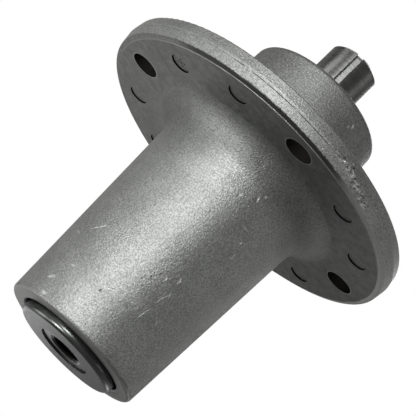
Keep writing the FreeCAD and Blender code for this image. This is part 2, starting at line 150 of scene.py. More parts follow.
@dataclass(frozen=True)
class Place:
    """Coordinates of a surface point, as sockets of a material: millimetres, and radians for the turn."""

    tree: Tree
    point: Socket
    height: Socket
    radius: Socket
    turn: Socket

    @classmethod
    def of(cls, tree: Tree) -> "Place":
        """Reads the point from the object's own coordinates.

        Args:
            tree: Node tree of the material.

        Returns:
            The point, its height, its distance from the shaft's axis, and its angle from +Y towards +X.
        """
        coords = add_node(tree, "ShaderNodeTexCoord")
        point = add_node(tree, "ShaderNodeVectorMath", {"operation": "SCALE"},
                         {0: coords.outputs["Object"], "Scale": 1 / MM})
        parts = add_node(tree, "ShaderNodeSeparateXYZ", links={0: point.outputs[0]})
        flat = add_node(tree, "ShaderNodeVectorMath", {"operation": "MULTIPLY"},
                        {0: point.outputs[0], 1: (1.0, 1.0, 0.0)})
        radius = add_node(tree, "ShaderNodeVectorMath", {"operation": "LENGTH"}, {0: flat.outputs[0]})
        turn = add_node(tree, "ShaderNodeMath", {"operation": "ARCTAN2"},
                        {0: parts.outputs["X"], 1: parts.outputs["Y"]})
        return cls(tree, point.outputs[0], parts.outputs["Z"], radius.outputs["Value"], turn.outputs[0])

    def calc(self, operation: str, *values: Any) -> Socket:
        """Result of a sum on sockets or numbers.

        Args:
            operation: Blender's name of the sum.
            values: Its inputs.

        Returns:
            Socket with the result.
        """
        return add_node(self.tree, "ShaderNodeMath", {"operation": operation},
                        dict(enumerate(values))).outputs[0]

    def noise(self, size_mm: float, detail: float = 3.0, rough: float = 0.55) -> Socket:
        """Noise over the surface.

        Args:
            size_mm: Size of its patches in millimetres.
            detail: Number of finer layers.
            rough: Strength of the finer layers.

        Returns:
            Socket with a value about 0.5.
        """
        return add_node(self.tree, "ShaderNodeTexNoise", links={
            "Vector": self.point, "Scale": 1 / size_mm, "Detail": detail, "Roughness": rough}).outputs[0]

    def ramp(self, value: Any, low: float, high: float, first: float = 0.0, last: float = 1.0) -> Socket:
        """Smooth change from one value to another.

        Args:
            value: Socket that is compared.
            low: Where the change starts.
            high: Where it ends.
            first: Value at the start.
            last: Value at the end.

        Returns:
            Socket with the value.
        """
        return add_node(self.tree, "ShaderNodeMapRange", {"interpolation_type": "SMOOTHSTEP"},
                        {0: value, 1: low, 2: high, 3: first, 4: last}).outputs[0]

    def band(self, value: Any, low: float, high: float, soft: float) -> Socket:
        """Mask that is 1 between two limits.

        Args:
            value: Socket that is compared.
            low: Lower limit.
            high: Upper limit.
            soft: Half of the width over which the mask fades.

        Returns:
            Socket with the mask.
        """
        return self.calc("MULTIPLY", self.ramp(value, low - soft, low + soft),
                         self.ramp(value, high + soft, high - soft))

    def zone(self, zone: Zone) -> Socket:
        """Mask of a turned zone.

        Args:
            zone: Its limits.

        Returns:
            Socket with the mask.
        """
        return self.calc("MULTIPLY", self.band(self.height, *zone.heights, zone.soft),
                         self.band(self.radius, *zone.radii, zone.soft))

    def stretch(self, stretch: Stretch) -> Socket:
        """Mask of a stretch round the axis.

        Args:
            stretch: Its limits.

        Returns:
            Socket with the mask.
        """
        return self.band(self.turn, math.radians(stretch.first_deg), math.radians(stretch.last_deg),
                         stretch.soft)

    def above_line(self, turns_deg: tuple[float, float], levels: tuple[float, float]) -> Socket:
        """Height above a line that changes its level between two turns.

        Args:
            turns_deg: Angles where it leaves its first level and where it reaches its last.
            levels: First and last level in millimetres.

        Returns:
            Socket with the height in millimetres.
        """
        first, last = (math.radians(turn) for turn in turns_deg)
        return self.calc("SUBTRACT", self.height, self.ramp(self.turn, first, last, *levels))

    def join(self, way: Join, *masks: Any) -> Socket:
        """Joins masks one after the other.

        Args:
            way: Whether a point has to lie in all of them or in any.
            masks: Sockets, or numbers that weaken the others.

        Returns:
            Socket with the mask.
        """
        joined = masks[0]
        for mask in masks[1:]:
            joined = self.calc(way.value, joined, mask)
        return joined

    def mix(self, mask: Any, first: Any, second: Any, mode: str = "MIX") -> Socket:
        """Mixes two colours by a mask.

        Args:
            mask: Socket or number, 0 for the first colour and 1 for the second.
            first: Socket or linear RGBA.
            second: Socket or linear RGBA.
            mode: Blender's blend type.

        Returns:
            Socket with the colour.
        """
        return add_node(self.tree, "ShaderNodeMix", {"data_type": "RGBA", "blend_type": mode},
                        {0: mask, 6: first, 7: second}).outputs[2]


@dataclass(frozen=True)
class Scar:
    """A ding or scratch: turn and height of its middle, length, width and tilt, in mm and degrees."""

    turn_deg: float
    height: float
    length: float
    width: float
    tilt_deg: float


# Bright scratches and dings on the tube and the boss, where the blasted skin is worn through.
SCRATCHES = (
    Scar(54.5, -79.6, 12.5, 0.9, 144), Scar(67.7, -85.0, 4.5, 1.3, 201), Scar(46.5, -98.5, 3.4, 1.1, 171),
    Scar(53.5, -107.1, 5.4, 2.4, 153), Scar(47.8, -114.2, 5.2, 2.2, 165), Scar(14.9, -96.3, 4.6, 0.8, 156),
    Scar(-11.1, -93.6, 9.0, 0.6, 100), Scar(-4.6, -77.7, 3.5, 1.3, 83), Scar(-12.3, -73.9, 3.8, 1.2, 79),
    Scar(-13.2, -83.2, 9.0, 0.65, 102), Scar(-17.6, -38.9, 5.2, 0.9, 175), Scar(0.4, -31.4, 2.8, 1.2, 90),
    Scar(-9.3, -27.0, 4.0, 1.2, 80), Scar(-11.8, -23.8, 1.8, 1.2, 114), Scar(-23.0, -43.9, 2.2, 0.8, 90),
    Scar(-26.2, -50.1, 3.6, 0.8, 93), Scar(-23.1, -91.8, 3.6, 0.8, 58), Scar(-15.3, -80.8, 3.6, 0.8, 72),
    Scar(-23.4, 28.7, 3.0, 1.5, 72), Scar(-20.9, 26.9, 1.8, 1.0, 73),
)
# Pinholes and dents, dark inside with painted shade.
PITS = (
    Scar(19.1, -99.3, 2.0, 0.9, 71), Scar(14.8, -110.2, 0.9, 0.7, 0), Scar(10.6, -112.8, 0.9, 0.7, 0),
    Scar(1.5, -81.5, 2.6, 1.2, 40), Scar(-1.0, -77.6, 2.4, 0.9, 130),
)
# Bright chips of the rim, and the pits between them, dark with painted shade.
RIM_CHIPS = (
    Scar(-9.4, -5.1, 2.4, 1.1, 121), Scar(-12.4, -2.7, 1.6, 1.1, 171), Scar(-14.5, -5.5, 2.0, 1.2, 109),
    Scar(-17.4, -6.2, 1.6, 1.0, 166), Scar(-13.6, -4.7, 1.8, 0.8, 4), Scar(-2.8, -8.6, 1.3, 0.9, 6),
)
RIM_PITS = (
    Scar(-9.3, -4.0, 2.2, 1.4, 139), Scar(-13.6, -3.4, 1.6, 0.9, 140), Scar(-16.0, -5.6, 1.8, 1.0, 150),
)


@dataclass(frozen=True)
class Specks:
    """Scattered bright specks on a stretch of the rim, with the noise limits between which they appear."""

    heights: tuple[float, float]
    soft: float
    size_mm: float
    limits: tuple[float, float]
    stretch: Stretch


# Broken flash on the rim: a ragged row above the lower edge, and a shorter one above it.
FLASH = (
    Specks((-10.1, -8.3), 0.5, 1.9, (0.50, 0.60), Stretch(17.0, 66.0, 0.06)),
    Specks((-8.6, -5.6), 0.4, 1.4, (0.53, 0.62), Stretch(36.0, 60.0, 0.05)),
)


@dataclass(frozen=True)
class CastAluminium:
    """Die-cast aluminium, blasted: sandy grain, smoother die face, pale edges, painted shade in recesses.

    The grain spreads each highlight into a wide soft sheen. The die face and the machined faces are calmer.
    Bare metal glints at worn edges, scratches and knocks; the knocks' bright specks are partly painted
    highlight, and a pale line along the flange's edge is painted highlight. Painted shade makes the pits, the
    hollows, the ejector marks' walls and dots and the parting line near black, and makes the boss a bit
    darker. The bolt holes' walls are darker.
    """

    name: str = "cast_aluminium_blasted"
    pale: str = "#646563"
    dark: str = "#5e5f5d"
    die_face: str = "#5b5c5a"
    hole_wall: str = "#3b3936"
    torn: str = "#343534"
    # Multiplies the boss's colour: painted shade that makes the boss a bit darker.
    boss_painted_shade: str = "#e6e6e6"
    # Near black: painted shade in the recesses and along the parting line.
    painted_shade_black: str = "#101010"
    machined: str = "#6c6d6b"
    # Pale bare metal of scratches, chips, flash and knocks, also used as painted highlight along the flange's
    # edge.
    worn_and_highlight: str = "#8c8d8a"
    # Blasted grain is about 0.3 mm, drawn coarser so that it shows at this size. Its colour is a bit finer,
    # and it swings by this share to the dark and to the pale side.
    grain_mm: float = 0.7
    grain_deep_mm: float = 0.3
    speckle_mm: float = 0.63
    speckle_swing: float = 0.32
    # Cloudy patches of the cast skin, at their real size, and the flow marks of the die face.
    blotch_mm: float = 12.0
    flow_mm: float = 4.0
    flow_swing: float = 0.4
    # Scratches wander by this much to each side, over this length, so that none is straight.
    wander: float = 0.9
    wander_mm: float = 2.5
    dent_deep_mm: float = 0.4
    dent_strength: float = 0.7
    scratch_depth: float = 0.5
    roughness: float = 0.49
    rougher: float = 0.09
    painted_shade_rough: float = 0.75
    metallic: float = 0.9
    specular: float = 0.12
    # Strength of the grain on the tube and the flange, what the boss adds, and what smooth faces keep of it.
    tube_grain: float = 0.8
    flange_grain: float = 0.6
    boss_grain: float = 0.15
    smooth_grain: float = 0.55
    # How far bare metal, painted highlight and painted shade cover their kinds of mark.
    highlit_ledge_share: float = 0.6
    edge_highlight_share: float = 0.5
    hole_wear: float = 0.7
    flash_wear: float = 0.2
    hollow_dark: float = 0.75
    pit_dark: float = 0.6
    dot_dark: float = 0.85
    # Radii that unroll the marks, the limit under which only tube and boss lie, and where the rim starts.
    tube_rad: float = 36.0
    tube_limit: float = 51.0
    rim_rad: float = 78.0
    rim_from: float = 76.6
    edge_rad: float = 75.0
    face_z: float = -10.9
    # Torn metal at the flange's edge: the size of its tongues and how far they reach.
    tear_mm: float = 2.2
    tear_reach: float = 1.6
    # The parting line comes down a slope to its level on the clear side, and it is broken by gaps.
    parting_z: float = -5.9
    parting_climb: float = 1.5
    parting_slope_deg: tuple[float, float] = (-32.0, 2.0)
    parting_rad: float = 77.5
    parting_half: float = 0.17
    parting_faint: float = 0.3
    parting_clear: float = 0.6
    gap_mm: float = 6.0
    # Knocks on the rim follow a slope too. Their specks and hollows are this big.
    knock_slope_deg: tuple[float, float] = (-24.0, -8.0)
    knock_levels: tuple[float, float] = (-7.9, -4.7)
    knock_heights: tuple[float, float] = (-1.6, 1.3)
    knock_mm: float = 1.1
    # Bolt holes and ejector marks share one circle.
    hole_circle: float = 63.5
    step_deg: float = 30.0
    hole_step_deg: float = 90.0
    hole_rad: float = 6.6
    mark_rad: float = 4.8
    dot_turn_deg: float = 60.0
    dot_step_mm: float = 1.3
    dot_rad: float = 0.52
    dot_rise: float = 0.6
    # Turned zones of the casting: the last three are machined, the others as cast.
    boss: Zone = Zone((1.0, 40.0), (30.0, 40.0), 0.4)
    die_cast: Zone = Zone((face_z - 4.0, face_z + 0.75), (50.0, edge_rad), 0.15)
    # Painted highlight: a pale line round the flange's edge.
    edge_highlight_line: Zone = Zone((face_z - 0.3, face_z + 0.3), (edge_rad - 0.4, edge_rad + 0.05), 0.08)
    low_rim: Zone = Zone((face_z + 0.5, face_z + 6.0), (rim_rad - 2.0, rim_rad + 1.0), 0.2)
    bored: Zone = Zone((-116.2, 36.7), (-9.0, 27.4))
    faced: Zone = Zone((-0.25, 0.3), (37.0, 79.0))
    end_face: Zone = Zone((-117.5, -116.05), (26.0, 36.0), 0.05)
    # Stretches of the rim: smeared edge, an edge with painted highlight, knocks, and the parting line where
    # it is clear.
    smear: Stretch = Stretch(-13.0, 52.0, 0.12)
    highlit_ledge: Stretch = Stretch(-115.0, -16.0, 0.1)
    knocked: Stretch = Stretch(-26.0, -7.0, 0.04)
    clear_parting: Stretch = Stretch(-3.0, 33.0, 0.05)

    def build(self) -> bpy.types.Material:
        """Makes the material.

        Returns:
            Material for the casting.
        """
        material, tree, shader = new_material(self.name)
        place = Place.of(tree)
        on_boss = place.zone(self.boss)
        face, torn, highlit_ledge = self.flange_edge(place)
        cut = place.join(Join.ANY, *(place.zone(zone) for zone in (self.bored, self.faced, self.end_face)))
        bright = place.join(Join.ANY, self.marks(place, SCRATCHES), self.marks(place, RIM_CHIPS, True))
        nicks, hollows = self.nicks(place)
        edge_highlight_line = place.join(Join.ALL, place.zone(self.edge_highlight_line), self.edge_highlight_share)
        # Worn metal at scratches, chips and flash, painted highlight on the flange's edge line, and knock
        # specks that are partly both.
        worn_and_highlight = place.join(Join.ANY, bright, self.broken_flash(place), edge_highlight_line, nicks)
        hole_wall, hole_edge, mark_wall_painted_shade = self.round_features(place)
        tube_pits = place.join(Join.ALL, self.marks(place, PITS), self.pit_dark)
        pits = place.join(Join.ANY, tube_pits, self.marks(place, RIM_PITS, True))
        # Painted shade: the ejector marks' walls, the parting line, the pits, the knocks' hollows and the
        # dots turn near black.
        painted_shade = place.join(Join.ANY, mark_wall_painted_shade, self.parting(place), pits, hollows, self.dots(place))
        colour = self.cast_skin(place, on_boss, face)
        for mask, shade in ((torn, self.torn), (highlit_ledge, self.worn_and_highlight), (worn_and_highlight, self.worn_and_highlight), (hole_edge, self.worn_and_highlight),
                            (cut, self.machined), (hole_wall, self.hole_wall), (painted_shade, self.painted_shade_black)):
            colour = place.mix(mask, colour, linear(shade))
        tree.links.new(colour, shader.inputs["Base Color"])
        # Where the painted shade lies, the surface is fully metallic and rough, so that its near black colour
        # reflects little.
        tree.links.new(place.join(Join.ANY, self.metallic, painted_shade), shader.inputs["Metallic"])
        coarse = place.join(Join.ANY, on_boss, place.zone(self.low_rim))
        rough = place.calc("MULTIPLY_ADD", coarse, self.rougher, self.roughness)
        rough = place.join(Join.ANY, rough, place.join(Join.ALL, painted_shade, self.painted_shade_rough))
        tree.links.new(rough, shader.inputs["Roughness"])
        shader.inputs["Specular IOR Level"].default_value = self.specular
        smooth = place.join(Join.ANY, face, cut)
        sunk = place.join(Join.ANY, place.join(Join.ALL, bright, self.scratch_depth), hollows, pits)
        tree.links.new(self.relief(place, on_boss, smooth, sunk), shader.inputs["Normal"])
        return material

    def cast_skin(self, place: Place, on_boss: Socket, face: Socket) -> Socket:
        """Colour of the bare casting: cloudy and grained, with flow marks on the die face.

        Args:
            place: Coordinates of the point.
            on_boss: Mask of the boss, which painted shade makes a bit darker.
            face: Mask of the die face.

        Returns:
            Socket with the colour.
        """
        clouds = place.ramp(place.noise(self.blotch_mm), 0.35, 0.65)
        colour = place.mix(clouds, linear(self.dark), linear(self.pale))
        colour = self.shaded(place, colour, place.noise(self.speckle_mm, 1.0), self.speckle_swing)
        # Painted shade: the boss is made a bit darker.
        colour = place.mix(on_boss, colour, linear(self.boss_painted_shade), "MULTIPLY")
        flow = place.noise(self.flow_mm, 6.0, 0.85)
        return place.mix(face, colour, self.shaded(place, linear(self.die_face), flow, self.flow_swing))

    def shaded(self, place: Place, colour: Any, speckle: Socket, swing: float) -> Socket:
        """Colour made darker and paler by noise.

        Args:
            place: Coordinates of the point.
            colour: Socket or linear RGBA.
            speckle: Noise about 0.5.
            swing: Share by which the darkest and the palest grains differ from the colour.

        Returns:
            Socket with the colour.
        """
        shade = place.ramp(speckle, 0.25, 0.75, 1.0 - swing, 1.0 + swing)
        grey = add_node(place.tree, "ShaderNodeCombineColor", links={0: shade, 1: shade, 2: shade}).outputs[0]
        return place.mix(1.0, colour, grey, "MULTIPLY")

    def relief(self, place: Place, on_boss: Socket, smooth: Socket, sunk: Socket) -> Socket:
        """Relief of the blasted grain, with the dings and pits sunk into it.

        Args:
            place: Coordinates of the point.
            on_boss: Mask of the boss.
            smooth: Mask of the die face and the machined faces.
            sunk: Mask of what lies below the surface.

        Returns:
            Socket with the normal.
        """
        strength = place.calc("MULTIPLY_ADD", on_boss, self.boss_grain, place.ramp(
            place.height, self.face_z - 2.0, self.face_z, self.tube_grain, self.flange_grain))
        grain = add_node(place.tree, "ShaderNodeBump", links={
            "Strength": place.join(Join.ALL, strength, place.ramp(smooth, 0.0, 1.0, 1.0, self.smooth_grain)),
            "Distance": self.grain_deep_mm * MM, "Height": place.noise(self.grain_mm, 2.0, 0.75)})
        dents = add_node(place.tree, "ShaderNodeBump", {"invert": True}, {
            "Strength": self.dent_strength, "Distance": self.dent_deep_mm * MM, "Height": sunk,
            "Normal": grain.outputs[0]})
        return dents.outputs[0]

    def flange_edge(self, place: Place) -> tuple[Socket, Socket, Socket]:
        """Masks of the die face and of the edge round it.

        Args:
            place: Coordinates of the point.

        Returns:
            Masks of the face with its smeared edge, of torn metal over that edge, and of a ledge with painted
            highlight.
        """
        face = place.join(Join.ALL, place.zone(self.die_cast),
                          place.ramp(place.height, self.face_z - 3.0, self.face_z - 0.1))
        outside = place.ramp(place.radius, self.edge_rad - 0.05, self.edge_rad + 0.05)
        tongues = place.noise(self.tear_mm, 4.0, 0.6)
        ragged = place.calc("MULTIPLY_ADD", tongues, self.tear_reach, place.height)
        edge = place.join(Join.ALL, place.band(ragged, self.face_z - 1.0, self.face_z + 1.75, 0.12),
                          outside, place.stretch(self.smear))
        torn = place.join(Join.ALL, edge, place.ramp(place.height, self.face_z + 0.1, self.face_z + 0.3))
        # Painted highlight on the ledge just outside the flange's edge.
        highlit_ledge = place.join(Join.ALL, place.band(place.height, self.face_z + 0.02, self.face_z + 0.95, 0.05),
                           outside, place.stretch(self.highlit_ledge), self.highlit_ledge_share)
        return place.join(Join.ANY, face, edge), torn, highlit_ledge

    def on_rim(self, place: Place) -> Socket:
        """Mask of the rim's outer side."""
        return place.ramp(place.radius, self.rim_from, self.rim_from + 0.3)

    def broken_flash(self, place: Place) -> Socket:
        """Mask of the ragged flash along the rim's lower edge.

        Args:
            place: Coordinates of the point.

        Returns:
            Socket with the mask.
        """
        rows = [place.join(Join.ALL, place.band(place.height, *row.heights, row.soft),
                           place.ramp(place.noise(row.size_mm, 3.0, 0.7), *row.limits),
                           place.stretch(row.stretch)) for row in FLASH]
        return place.join(Join.ALL, place.join(Join.ANY, *rows), self.on_rim(place), self.flash_wear)

    def nicks(self, place: Place) -> tuple[Socket, Socket]:
        """Masks of the knocks along the middle of the rim, on one stretch that slopes.

        Args:
            place: Coordinates of the point.

        Returns:
            Masks of the raised bright specks, partly worn metal and partly painted highlight, and of the
            hollows, dark with painted shade.
        """
        drift = place.above_line(self.knock_slope_deg, self.knock_levels)
        there = place.join(Join.ALL, place.band(drift, *self.knock_heights, 0.5), place.stretch(self.knocked),
                           self.on_rim(place))
        speckle = place.noise(self.knock_mm, 3.0, 0.7)
        return (place.join(Join.ALL, there, place.ramp(speckle, 0.53, 0.59)),
                place.join(Join.ALL, there, place.ramp(speckle, 0.44, 0.38, 0.0, self.hollow_dark)))

    def parting(self, place: Place) -> Socket:
        """Mask of the parting line, painted as a line of shade, clear on one side of the rim and faint on the
        rest.

        Args:
            place: Coordinates of the point.

        Returns:
            Socket with the mask.
        """
        levels = (self.parting_z + self.parting_climb, self.parting_z)
        drift = place.above_line(self.parting_slope_deg, levels)
        line = place.band(drift, -self.parting_half, self.parting_half, 0.1)
        outside = place.ramp(place.radius, self.parting_rad - 0.1, self.parting_rad + 0.1)
        gaps = place.ramp(place.noise(self.gap_mm, 2.0), 0.36, 0.48)
        depth = place.calc("MULTIPLY_ADD", place.stretch(self.clear_parting),
                           self.parting_clear, self.parting_faint)
        return place.join(Join.ALL, line, outside, gaps, depth)

    def dots(self, place: Place) -> Socket:
        """Mask of the five small dots in one ejector mark, painted dark as shade in their dimples.

        Args:
            place: Coordinates of the point.

        Returns:
            Socket with the mask.
        """
        middle = math.radians(self.dot_turn_deg)
        home = Vector((math.sin(middle) * self.hole_circle, math.cos(middle) * self.hole_circle,
                       self.face_z + self.dot_rise))
        total: Any = 0.0
        for across, up in ((-1, -1), (1, 1), (1, -1), (-1, 1), (0, 0)):
            spot = home + Vector((across, up, 0.0)) * self.dot_step_mm
            away = add_node(place.tree, "ShaderNodeVectorMath", {"operation": "DISTANCE"},
                            {0: place.point, 1: spot}).outputs["Value"]
            total = place.join(Join.ANY, total, place.ramp(away, self.dot_rad + 0.1, self.dot_rad - 0.1))
        return place.join(Join.ALL, total, self.dot_dark)

    def round_features(self, place: Place) -> tuple[Socket, Socket, Socket]:
        """Masks round the bolt holes and the ejector marks, which share one circle.

        Args:
            place: Coordinates of the point.

        Returns:
            Masks of the hole walls, the hole edges and the ejector marks' walls; the last gets painted shade.
        """
        half_step = self.step_deg / 2
        apart = place.calc("PINGPONG", place.turn, math.radians(half_step))
        is_hole = place.ramp(place.calc("PINGPONG", place.turn, math.radians(self.hole_step_deg / 2)),
                             math.radians(half_step + 0.2), math.radians(half_step - 0.2))
        across = place.calc("MULTIPLY", place.radius, place.calc("COSINE", apart))
        aside = place.calc("MULTIPLY", place.radius, place.calc("SINE", apart))
        away = place.calc("SQRT", place.calc("ADD", place.calc("POWER", aside, 2.0), place.calc(
            "POWER", place.calc("SUBTRACT", across, self.hole_circle), 2.0)))
        inside = place.band(place.height, self.face_z + 0.05, -0.1, 0.04)
        wall = place.join(Join.ALL, is_hole, inside,
                          place.ramp(away, self.hole_rad + 0.2, self.hole_rad + 0.1))
        edge = place.join(Join.ALL, is_hole, place.band(away, self.hole_rad, self.hole_rad + 0.45, 0.1),
                          place.ramp(place.height, self.face_z + 0.1, self.face_z + 0.02), self.hole_wear)
        mark = place.join(Join.ALL, inside, place.calc("SUBTRACT", 1.0, is_hole),
                          place.band(away, self.mark_rad - 0.22, self.mark_rad + 0.12, 0.05))
        return wall, edge, mark

    def marks(self, place: Place, scars: tuple[Scar, ...], on_rim: bool = False) -> Socket:
        """Mask of dings on the unrolled tube and boss, or on the unrolled rim.

        Args:
            place: Coordinates of the point.
            scars: The dings.
            on_rim: Whether they lie on the rim.

        Returns:
            Socket with the mask.
        """
        radius = self.rim_rad if on_rim else self.tube_rad
        wander = place.calc("MULTIPLY_ADD", place.noise(self.wander_mm, 2.0), 2 * self.wander, -self.wander)
        around = place.calc("MULTIPLY_ADD", place.turn, radius, wander)
        flat = add_node(place.tree, "ShaderNodeCombineXYZ", links={0: around, 1: place.height})
        total: Any = 0.0
        for scar in scars:
            mapped = add_node(place.tree, "ShaderNodeMapping", {"vector_type": "TEXTURE"}, {
                "Vector": flat.outputs[0],
                "Location": (math.radians(scar.turn_deg) * radius, scar.height, 0.0),
                "Rotation": (0.0, 0.0, math.radians(scar.tilt_deg)),
                "Scale": (scar.length / 2, scar.width / 2, 1.0)})
            away = add_node(place.tree, "ShaderNodeVectorMath", {"operation": "LENGTH"},
                            {0: mapped.outputs[0]}).outputs["Value"]
            total = place.join(Join.ANY, total, place.ramp(away, 1.0, 0.4))
        broken = place.ramp(place.noise(1.1, 2.0), 0.38, 0.6, 0.35, 1.0)
        there = self.on_rim(place) if on_rim else place.ramp(
            place.radius, self.tube_limit + 1.0, self.tube_limit - 1.0)
        return place.join(Join.ALL, total, broken, there)


@dataclass(frozen=True)
class TurnedSteel:
    """Carbon steel, turned and ground: dark, with fine rings round the axis that stretch its highlights."""

    name: str = "carbon_steel_ground"
    pale: str = "#5f605e"
    dark: str = "#525351"
    # Tool marks are about 0.1 mm apart, drawn coarser so that they show.
    ring_mm: float = 0.8
    ring_deep_mm: float = 0.1
    # Faint clouds of handling and storage, at their real size.
    cloud_mm: float = 7.0
    # Along the rings the roughness varies by this much to the smoother and to the rougher side.
    roughness: float = 0.27
    smoother: float = 0.02
    rougher: float = 0.03
    bump: float = 0.006
    across_face: bool = False
    # The milled slot is paler: a painted highlight on its floor. The tapped bore is darker, as its flanks are
    # rough and shade each other.
    slot_painted_highlight: str = ""
    milled: Zone = Zone((41.0, 62.6), (-1.0, 12.4), 0.05)
    bore: str = ""
    tapped: Zone = Zone((-125.0, -60.0), (-1.0, 8.1), 0.15)
    # Outside this radius a face is rubbed smoother, which tightens its highlight.
    burnished_from: float = 100.0
    burnish: float = 0.75

    def build(self) -> bpy.types.Material:
        """Makes the material.

        Returns:
            Material for a turned steel piece.
        """
        material, tree, shader = new_material(self.name)
        place = Place.of(tree)
        path = place.radius if self.across_face else place.height
        rings = add_node(tree, "ShaderNodeTexNoise", {"noise_dimensions": "1D"}, {
            "W": path, "Scale": 1 / self.ring_mm, "Detail": 3.0}).outputs[0]
        clouds = place.ramp(place.noise(self.cloud_mm, 2.0, 0.5), 0.35, 0.68)
        colour = place.mix(clouds, linear(self.dark), linear(self.pale))
        for shade, zone in ((self.slot_painted_highlight, self.milled), (self.bore, self.tapped)):
            if shade:
                colour = place.mix(place.zone(zone), colour, linear(shade))
        tree.links.new(colour, shader.inputs["Base Color"])
        shader.inputs["Metallic"].default_value = 1.0
        rough = place.ramp(rings, 0.3, 0.7, self.roughness - self.smoother, self.roughness + self.rougher)
        rubbed = place.ramp(place.radius, self.burnished_from, self.burnished_from + 0.3, 1.0, self.burnish)
        tree.links.new(place.calc("MULTIPLY", rough, rubbed), shader.inputs["Roughness"])
        bump = add_node(tree, "ShaderNodeBump", links={
            "Strength": place.calc("MULTIPLY", rubbed, self.bump),
            "Distance": self.ring_deep_mm * MM, "Height": rings})
        tree.links.new(bump.outputs[0], shader.inputs["Normal"])
        return material


@dataclass(frozen=True)
class SealRubber:
    """Nitrile rubber, moulded: black and matt, with a faint grain that keeps it from looking glazed."""

    name: str = "nitrile_rubber_moulded"
    colour: str = "#1b1b1c"
    # The mould's grain is about 0.1 mm, drawn coarser so that it shows.
    grain_mm: float = 0.4
    grain_deep_mm: float = 0.1
    bump: float = 0.2

    def build(self) -> bpy.types.Material:
        """Makes the material.

        Returns:
            Material for the bearing seals.
        """
        material, tree, shader = new_material(self.name)
        place = Place.of(tree)
        grain = place.noise(self.grain_mm, 2.0)
        shader.inputs["Base Color"].default_value = linear(self.colour)
        tree.links.new(place.ramp(grain, 0.3, 0.7, 0.5, 0.75), shader.inputs["Roughness"])
        bump = add_node(tree, "ShaderNodeBump", links={
            "Strength": self.bump, "Distance": self.grain_deep_mm * MM, "Height": grain})
        tree.links.new(bump.outputs[0], shader.inputs["Normal"])
        return material


def dress(node_name: str, material: bpy.types.Material) -> None:
    """Gives a CAD node its finish.

    Args:
        node_name: Name of the node.
        material: Its material.
    """
    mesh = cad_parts[node_name].data
    mesh.materials.clear()
    mesh.materials.append(material)
    LOG.info("dressed %s with %s", node_name, material.name)


def add_piece(name: str, shape: bmesh.types.BMesh, material: bpy.types.Material, body: Body) -> None:
    """Turns a shape into a piece that rides on a body.

    Args:
        name: Name of the piece.
        shape: Its mesh; it is freed.
        material: Its material.
        body: Body that carries it.
    """
    bmesh.ops.recalc_face_normals(shape, faces=shape.faces)
    mesh = bpy.data.meshes.new(name)
    shape.to_mesh(mesh)
    shape.free()
    mesh.materials.append(material)
    piece = bpy.data.objects.new(name, mesh)
    bpy.context.scene.collection.objects.link(piece)
    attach(piece, body.value)
    LOG.info("made %s", name)


@dataclass
class EdgeBead:
    """A thin uneven ridge that the die leaves along an edge of the flange, in millimetres and degrees."""

    name: str
    radius: float
    height: float
    size: float
    ragged: float
    start_deg: float = -180.0
    stop_deg: float = 180.0
    steps: int = 360
    sides: int = 6
    # The ridge wanders in size: how fast it comes back to its mean, its least share, and its tapered ends.
    recover: float = 0.35
    least: float = 0.3
    taper_steps: int = 8
    tip: float = 0.1
    seed: int = 5

    def build(self, material: bpy.types.Material) -> None:
        """Sweeps a small circle of wandering size along the edge.

        Args:
            material: Finish of the casting.
        """
        chance = random.Random(self.seed)
        shape = bmesh.new()
        rings: list[list[bmesh.types.BMVert]] = []
        closed = self.stop_deg - self.start_deg >= 360.0
        share = 1.0
        for step in range(self.steps if closed else self.steps + 1):
            turn = math.radians(self.start_deg + (self.stop_deg - self.start_deg) * step / self.steps)
            share += self.recover * (1.0 - share) + chance.uniform(-self.ragged, self.ragged)
            share = max(self.least, share)
            from_end = min(step, self.steps - step)
            end = 1.0 if closed else min(1.0, self.tip + from_end / self.taper_steps)
            size = self.size * share * end
            ring = []
            for side in range(self.sides):
                angle = 2 * math.pi * side / self.sides
                reach = self.radius + size * math.cos(angle)
                ring.append(shape.verts.new((reach * math.sin(turn) * MM, reach * math.cos(turn) * MM,
                                             (self.height + size * math.sin(angle)) * MM)))
            rings.append(ring)
        for ring, after in zip(rings, rings[1:] + (rings[:1] if closed else [])):
            for i in range(self.sides):
                j = (i + 1) % self.sides
                shape.faces.new((ring[i], ring[j], after[j], after[i]))
        if not closed:
            shape.faces.new(rings[0])
            shape.faces.new(rings[-1])
        for face in shape.faces:
            face.smooth = True
        add_piece(self.name, shape, material, Body.HOUSING)


@dataclass
class Housing:
    """The casting with its flange, tapered tube and boss."""

    node: str = "spindle_housing"
    finish: CastAluminium = field(default_factory=CastAluminium)
    beads: tuple[EdgeBead, ...] = (
        EdgeBead("flange_bead", radius=74.85, height=-10.88, size=0.15, ragged=0.2),
        EdgeBead("rim_flash", radius=77.3, height=-9.95, size=0.2, ragged=0.75,
                 start_deg=-13.0, stop_deg=64.0))

    def build(self) -> None:
        """Dresses the casting and adds the ridges along its flange."""
        material = self.finish.build()
        dress(self.node, material)
        for bead in self.beads:
            bead.build(material)


